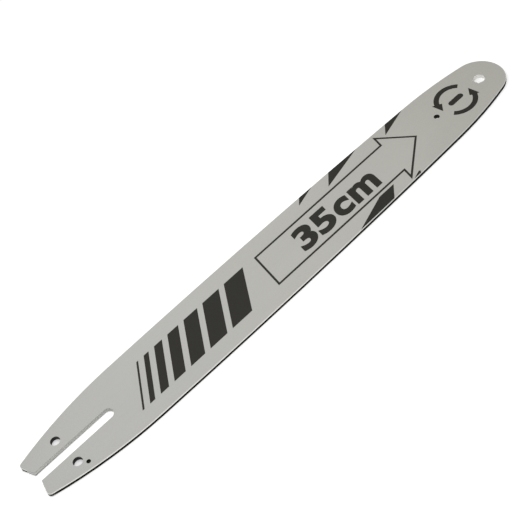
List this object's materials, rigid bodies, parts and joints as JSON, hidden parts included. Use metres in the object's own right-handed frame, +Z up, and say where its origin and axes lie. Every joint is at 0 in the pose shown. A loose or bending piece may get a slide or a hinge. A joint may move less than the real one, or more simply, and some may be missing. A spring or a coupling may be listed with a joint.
{
  "type": "chainsaw guide bar",
  "caption": "Flat steel guide bar for a small chainsaw, with a grooved edge that carries the chain, a rounded hard nose and a slotted tail that the saw clamps.",
  "frame": {"origin": "middle of the face that the bar lies on", "axes": "+X along the bar from the tail to the nose, +Y across the rails, +Z up out of the printed face"},
  "size_m": [0.41, 0.054, 0.0031],
  "materials": {
    "painted_steel": "satin"
  },
  "bodies": {
    "root": {"guide_bar": "painted_steel"}
  },
  "joints": []
}
